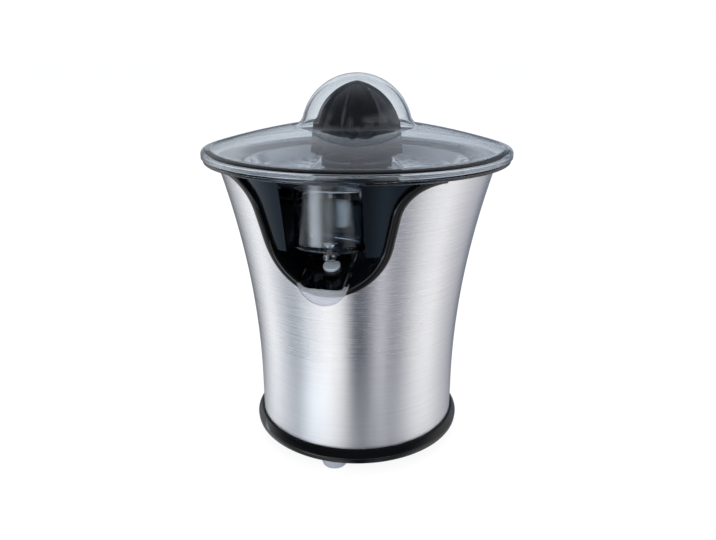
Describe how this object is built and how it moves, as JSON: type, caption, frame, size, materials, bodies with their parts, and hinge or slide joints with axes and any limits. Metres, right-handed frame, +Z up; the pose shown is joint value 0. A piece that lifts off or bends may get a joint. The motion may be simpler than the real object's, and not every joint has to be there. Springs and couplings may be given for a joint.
{
  "type": "electric citrus juicer",
  "caption": "Electric citrus juicer: flared brushed-steel body, ribbed cone and strainer over a clear bowl, tipping drip-stop spout, clear domed lid.",
  "frame": {"origin": "centre of the feet's soles on the counter, under the shaft's axis", "axes": "+Z up along the shaft, -Y towards the spout, +X to the right as seen from the front"},
  "size_m": [0.2014, 0.2014, 0.249],
  "materials": {
    "brushed_steel": "fine circumferential brushing",
    "polished_steel": "polished",
    "plated_steel": "zinc plated",
    "gloss_black": "gloss",
    "satin_black": "satin",
    "clear_lid": "clear, faint blue",
    "clear_bowl": "clear, faint blue",
    "silicone": "milky",
    "foot_rubber": "satin",
    "black_rubber": "satin",
    "gear_plastic": "satin",
    "gearbox_plastic": "satin",
    "bronze": "oil-filled",
    "motor_steel": "zinc plated",
    "magnet": "ferrite",
    "core_steel": "laminated",
    "copper": "enamelled",
    "carbon": "carbon",
    "board_green": "laminate",
    "component_grey": "moulded"
  },
  "bodies": {
    "housing": {"steel_housing": "brushed_steel", "edge_trim": "gloss_black", "upper_housing": "gloss_black", "base_ring": "gloss_black", "base_plate": "satin_black", "rubber_feet": "foot_rubber", "foot_screws": "plated_steel", "cord_inlet": "black_rubber", "gearbox_cover": "gearbox_plastic", "gearbox_tray": "gearbox_plastic", "gearbox_screws": "plated_steel", "shaft_bushes": "bronze", "shaft_seal": "black_rubber", "idler_pin": "plated_steel", "motor_can": "motor_steel", "motor_magnets": "magnet", "end_bell": "gearbox_plastic", "motor_screws": "plated_steel", "motor_bearings": "bronze", "brush_card": "component_grey", "brushes": "carbon", "switch_bracket": "gearbox_plastic", "bracket_screws": "plated_steel", "return_spring": "plated_steel", "switch_body": "component_grey", "switch_screws": "plated_steel", "rectifier_board": "board_green", "board_components": "component_grey", "board_screws": "plated_steel"},
    "rotor": {"motor_shaft": "plated_steel", "armature_core": "core_steel", "armature_windings": "copper", "commutator": "copper", "motor_pinion": "gear_plastic"},
    "idler": {"idler_gear": "gear_plastic"},
    "plunger": {"switch_plunger": "gear_plastic"},
    "button": {"switch_button": "satin_black"},
    "drive": {"drive_shaft": "plated_steel", "output_gear": "gear_plastic", "drive_pin": "plated_steel"},
    "inner_cone": {"small_cone": "satin_black"},
    "outer_cone": {"large_cone": "satin_black"},
    "bowl": {"juice_bowl": "clear_bowl"},
    "strainer": {"strainer": "polished_steel"},
    "spout": {"spout": "clear_bowl", "drip_plug": "silicone"},
    "lid": {"lid": "clear_lid"}
  },
  "joints": [
    {"name": "press", "type": "slide", "parent": "housing", "child": "plunger", "axis": [0, 0, -1], "range_m": [0, 0.002], "stiffness_N_per_m": 1500, "springref_m": -0.005, "deforming": ["return_spring"]},
    {"name": "button_press", "type": "slide", "parent": "housing", "child": "button", "axis": [0, 0, -1], "range_m": [0, 0.002]},
    {"name": "rotor_spin", "type": "hinge", "parent": "housing", "child": "rotor", "pos_m": [0, 0.038, 0.1], "axis": [0, 0, 1], "continuous": true},
    {"name": "idler_spin", "type": "hinge", "parent": "housing", "child": "idler", "pos_m": [0.01805, 0.02359, 0.14], "axis": [0, 0, 1], "continuous": true},
    {"name": "shaft_spin", "type": "hinge", "parent": "plunger", "child": "drive", "pos_m": [0, 0, 0.15], "axis": [0, 0, 1], "continuous": true},
    {"name": "bowl_lift", "type": "slide", "parent": "housing", "child": "bowl", "axis": [0, 0, 1], "range_m": [0, 0.09]},
    {"name": "inner_cone_lift", "type": "slide", "parent": "drive", "child": "inner_cone", "axis": [0, 0, 1], "range_m": [0, 0.09]},
    {"name": "strainer_lift", "type": "slide", "parent": "bowl", "child": "strainer", "axis": [0, 0, 1], "range_m": [0, 0.06]},
    {"name": "outer_cone_lift", "type": "slide", "parent": "inner_cone", "child": "outer_cone", "axis": [0, 0, 1], "range_m": [0, 0.06]},
    {"name": "lid_lift", "type": "slide", "parent": "strainer", "child": "lid", "axis": [0, 0, 1], "range_m": [0, 0.08]},
    {"name": "spout_tilt", "type": "hinge", "parent": "bowl", "child": "spout", "pos_m": [0, -0.052, 0.14796], "axis": [-1, 0, 0], "range_deg": [0, 20]}
  ],
  "couplings": [
    {"joint": "button_press", "follows": "press", "ratio": 1},
    {"joint": "idler_spin", "follows": "rotor_spin", "ratio": -0.22222},
    {"joint": "shaft_spin", "follows": "rotor_spin", "ratio": 0.049383},
    {"joint": "inner_cone_lift", "follows": "bowl_lift", "ratio": 1},
    {"joint": "outer_cone_lift", "follows": "strainer_lift", "ratio": 1}
  ]
}
